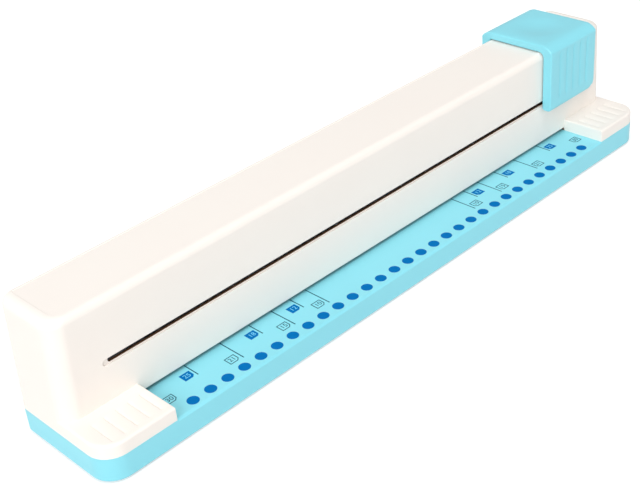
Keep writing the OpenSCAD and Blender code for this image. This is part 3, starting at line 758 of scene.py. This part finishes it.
# %% Dots
HOLE_COUNT, HOLE_PITCH, DOT_R, DOT_Y, DOT_SIDES = 30, 9.5, 2.78, -27.42, 32
dots = bmesh.new()
for i in range(HOLE_COUNT):
    spot = Vector(((i - (HOLE_COUNT - 1) / 2) * HOLE_PITCH, DOT_Y, deck_z / MM)) * MM
    bmesh.ops.create_circle(dots, cap_ends=True, segments=DOT_SIDES, radius=DOT_R * MM,
                            matrix=Matrix.Translation(spot))
pull(dots, dots.faces[:], Z_AXIS * INK_T)
make_piece(dots, "print_dots", [blue_ink], "frame")

# %% [markdown]
# ## Lines and tags
# A line shows where a sheet's edge lies, and a five-sided tag beside it names the sheet. Two families of
# sheets take turns: one has filled tags and short lines, the other open tags and longer lines. The
# outermost tag has no line, because the pad itself is its stop. An open tag could be a bevelled curve, but
# patches between two outlines give an even line with clean corners.

# %% Tag helpers
LINE_W, LINE_START = 0.5, -6.5
TAG_W, TAG_D, TAG_CUT, OUTER_TAG_X = 5.4, 4.9, 1.3, 143.6
OUTLINE_W, CUT_SHRINK = 0.8 * LINE_W, 0.6
# Each family: the step from a line to its tag, the tag's y and the y where the line ends
FILLED, OPEN = (3.85, -13.1, -15.9), (4.25, -19.4, -22.3)
# Each sheet: its number, its line's x and its family
sheets = [
    (30, None, OPEN), (25, 125.2, FILLED), (21, 105.0, OPEN), (18, 88.0, FILLED),
    (15, 74.2, OPEN), (12, 62.6, FILLED), (10, 52.6, OPEN),
]


def tag_outline(x, y, side, inset):
    w, d, c = TAG_W / 2 - inset, TAG_D / 2 - inset, TAG_CUT - inset * CUT_SHRINK
    return [(x + side * a, y + b) for a, b in ((w, d), (-w, d), (-w, -d + c), (-w + c, -d), (w, -d))]


def open_tag(bm, x, y, side):
    outer, inner = tag_outline(x, y, side, 0), tag_outline(x, y, side, OUTLINE_W)
    for k, corner in enumerate(outer):
        following = (k + 1) % len(outer)
        ink_patch(bm, [corner, outer[following], inner[following], inner[k]])


print("sheets marked:", len(sheets))

# %% [markdown]
# ## Numbers
# The tags carry plain numbers, the sheet's edge in whole centimetres. A text curve already knows the shapes
# of the digits, so each number starts as one, is turned into a flat mesh and joins the layer of its ink.

# %% Number helper
DIGIT_H, FONT_SIZE_PER_HEIGHT = 2.6, 1.38


def add_number(bm, number, x, y):
    words = bpy.data.curves.new("number", "FONT")
    words.body, words.size = str(number), DIGIT_H * MM * FONT_SIZE_PER_HEIGHT
    words.align_x, words.align_y = "CENTER", "CENTER"
    holder = bpy.data.objects.new("number", words)
    bpy.context.scene.collection.objects.link(holder)
    bpy.context.view_layer.update()
    flat = holder.to_mesh()
    flat.transform(Matrix.Translation((x * MM, y * MM, deck_z)))
    bm.from_mesh(flat)
    holder.to_mesh_clear()
    bpy.data.curves.remove(words)


print("digits are", DIGIT_H, "mm high")

# %% Lines, tags and numbers
lines, filled, digits_dark, digits_pale = (bmesh.new() for _ in range(4))
for number, line_x, family in sheets:
    tag_step, tag_y, line_end = family
    for side in (-1, 1):
        tag_x = side * (OUTER_TAG_X if line_x is None else line_x + tag_step)
        if line_x is not None:
            ink_bar(lines, side * line_x - LINE_W / 2, line_end, side * line_x + LINE_W / 2, LINE_START)
        if family is FILLED:
            ink_patch(filled, tag_outline(tag_x, tag_y, side, 0))
        else:
            open_tag(lines, tag_x, tag_y, side)
        add_number(digits_pale if family is FILLED else digits_dark, number, tag_x, tag_y)
for bm, name, ink, lift in ((lines, "print_lines", teal_ink, 0), (filled, "print_tags", blue_ink, 0),
                            (digits_dark, "print_numbers", teal_ink, 0),
                            (digits_pale, "print_tag_numbers", pale_ink, INK_T)):
    bmesh.ops.remove_doubles(bm, verts=bm.verts[:], dist=TOUCH)
    bmesh.ops.translate(bm, vec=(0, 0, lift), verts=bm.verts[:])
    pull(bm, bm.faces[:], Z_AXIS * INK_T)
    make_piece(bm, name, [ink], "frame")

# %% [markdown]
# ## Return springs
# Each pin has a coil spring under its head that lifts it out of the sheet. A small circle of wire is spun
# round the pin and moved up a little at each step, which makes a helix, and its two ends are closed. The
# springs stay on the frame.

# %% Spring helper
WIRE_R, COIL_TURNS, STEPS_PER_TURN, WIRE_SIDES = 0.45 * MM, 6, 16, 6
PIN_TRAVEL, SPRING_PLAY = 5 * MM, 0.05 * MM
spring_low, spring_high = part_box("return_springs")
spring_len = spring_high.z - spring_low.z - SPRING_PLAY
coil_r = (spring_high.y - spring_low.y) / 2 - WIRE_R
climb = (spring_len - 2 * WIRE_R) / (COIL_TURNS * STEPS_PER_TURN)


def coil(x):
    bm = bmesh.new()
    place = Matrix.Translation((x + coil_r, beam_mid, spring_low.z + WIRE_R))
    upright = Matrix.Rotation(math.pi / 2, 4, "X")
    bmesh.ops.create_circle(bm, segments=WIRE_SIDES, radius=WIRE_R, matrix=place @ upright)
    bmesh.ops.spin(bm, geom=bm.edges[:], cent=(x, beam_mid, 0), axis=Z_AXIS, dvec=Z_AXIS * climb,
                   angle=2 * math.pi * COIL_TURNS, steps=COIL_TURNS * STEPS_PER_TURN)
    bmesh.ops.holes_fill(bm, edges=[e for e in bm.edges if e.is_boundary])
    bmesh.ops.recalc_face_normals(bm, faces=bm.faces[:])
    return bm


print("spring", round(spring_len / MM, 2), "mm long")

# %% Return springs
for i in range(1, HOLE_COUNT + 1):
    pin_low, pin_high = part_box(f"punch_pin_{i:02d}")
    pin_x = (pin_low.x + pin_high.x) / 2
    spring = make_piece(coil(pin_x), f"return_spring_{i:02d}", [bright_steel], "frame", "steel",
                        "return_springs")
    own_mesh(spring)

# %% [markdown]
# ## Feet and chip cover
# The rubber feet have a cupped sole that grips a table, and the cover under the chip space has edges that a
# thumb can find. Both are copies of their CAD nodes, with the sole inset and sunk and with the edges
# broken.

# %% Feet and chip cover
SOLE_RIM, SOLE_STEP, SOLE_DEPTH, COVER_EDGE_R = 1.4 * MM, 0.4 * MM, 0.3 * MM, 0.3 * MM
feet = copy_of("rubber_feet")
soles = [f for f in feet.faces if f.normal.z < -ALIGNED]
bmesh.ops.inset_individual(feet, faces=soles, thickness=SOLE_RIM)
bmesh.ops.inset_individual(feet, faces=soles, thickness=SOLE_STEP, depth=-SOLE_DEPTH)
make_piece(feet, "rubber_feet_moulding", [black_rubber], "frame", "rubber", "rubber_feet")
cover = copy_of("chip_cover")
bevel(cover, [e for e in cover.edges if e.calc_face_angle(0) > SQUARE_ANGLE], COVER_EDGE_R, steps=2)
make_piece(cover, "chip_cover_moulding", [sky_abs], "chip_cover", "sky_plastic", "chip_cover")

# %% [markdown]
# ## Finishes for the CAD nodes
# The mechanism inside keeps its CAD shapes, which are right as they are. Each node takes the finish of the
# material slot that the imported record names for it.

# %% CAD finishes
for part in frame["record"]["subparts"]:
    materials = nodes[part["node"]].data.materials
    materials.clear()
    materials.append(finish_of_slot[part["material_slot"]])

# %% [markdown]
# ## Floor
# The punch stands on a plain white sweep. The floor turns white for the camera and for reflections alone,
# by a little emission that only those rays see, so no extra light falls on the punch and its shadow stays.

# %% Floor
FLOOR_HALF, FLOOR_LIFT = 6, 0.45
floor_mesh = bmesh.new()
bmesh.ops.create_grid(floor_mesh, x_segments=1, y_segments=1, size=FLOOR_HALF)
floor_data = bpy.data.meshes.new("floor")
floor_mesh.to_mesh(floor_data)
floor_mesh.free()
floor = bpy.data.objects.new("floor", floor_data)
bpy.context.scene.collection.objects.link(floor)
sweep = new_finish("studio_sweep")
ray = add_node(sweep, "ShaderNodeLightPath")
mirrored = add_node(sweep, "ShaderNodeMath", {"operation": "MAXIMUM"}, {
    0: ray.outputs["Is Glossy Ray"], 1: ray.outputs["Is Transmission Ray"]})
seen = add_node(sweep, "ShaderNodeMath", {"operation": "MAXIMUM"}, {
    0: ray.outputs["Is Camera Ray"], 1: mirrored.outputs[0]})
lift = add_node(sweep, "ShaderNodeMath", {"operation": "MULTIPLY"}, {
    0: seen.outputs[0], 1: FLOOR_LIFT})
paper = add_node(sweep, "ShaderNodeBsdfPrincipled", None, {
    "Base Color": linear("#d4d4d4"), "Roughness": 0.9, "Emission Color": linear("#ffffff"),
    "Emission Strength": lift.outputs[0]})
add_node(sweep, "ShaderNodeOutputMaterial", None, {"Surface": paper.outputs["BSDF"]})
floor_data.materials.append(sweep)
print("floor", floor.name)

# %% [markdown]
# ## Light
# A large soft box from the front left lights the near end most, then the top, then the long front, which is
# how the photograph tells these faces apart. One above lifts the deck and the tops, weaker ones in front
# and behind fill the shadows, and an even world does the rest.

# %% Light
WORLD_LIGHT = 0.5
AIM = Vector((0, 0, 30)) * MM
scene = bpy.context.scene
scene.view_settings.view_transform = "Standard"
scene.world = bpy.data.worlds.new("studio")
scene.world.use_nodes = True
background = scene.world.node_tree.nodes["Background"]
background.inputs["Color"].default_value = linear("#ffffff")
background.inputs["Strength"].default_value = WORLD_LIGHT


def soft_box(name, place, size, power):
    data = bpy.data.lights.new(name, "AREA")
    data.shape, data.size, data.energy = "SQUARE", size, power
    lamp = bpy.data.objects.new(name, data)
    lamp.location = place
    lamp.rotation_euler = (Vector(place) - AIM).to_track_quat("Z", "Y").to_euler()
    scene.collection.objects.link(lamp)
    print(name, power, "W")


soft_box("key_soft_box", (-2.72, -1.16, 1.73), 2.0, 68)
soft_box("front_soft_box", (0.3, -2.8, 1.1), 1.8, 14)
soft_box("top_soft_box", (-0.4, -0.7, 2.9), 1.8, 29)
soft_box("back_soft_box", (-0.4, 2.8, 1.0), 1.6, 10)
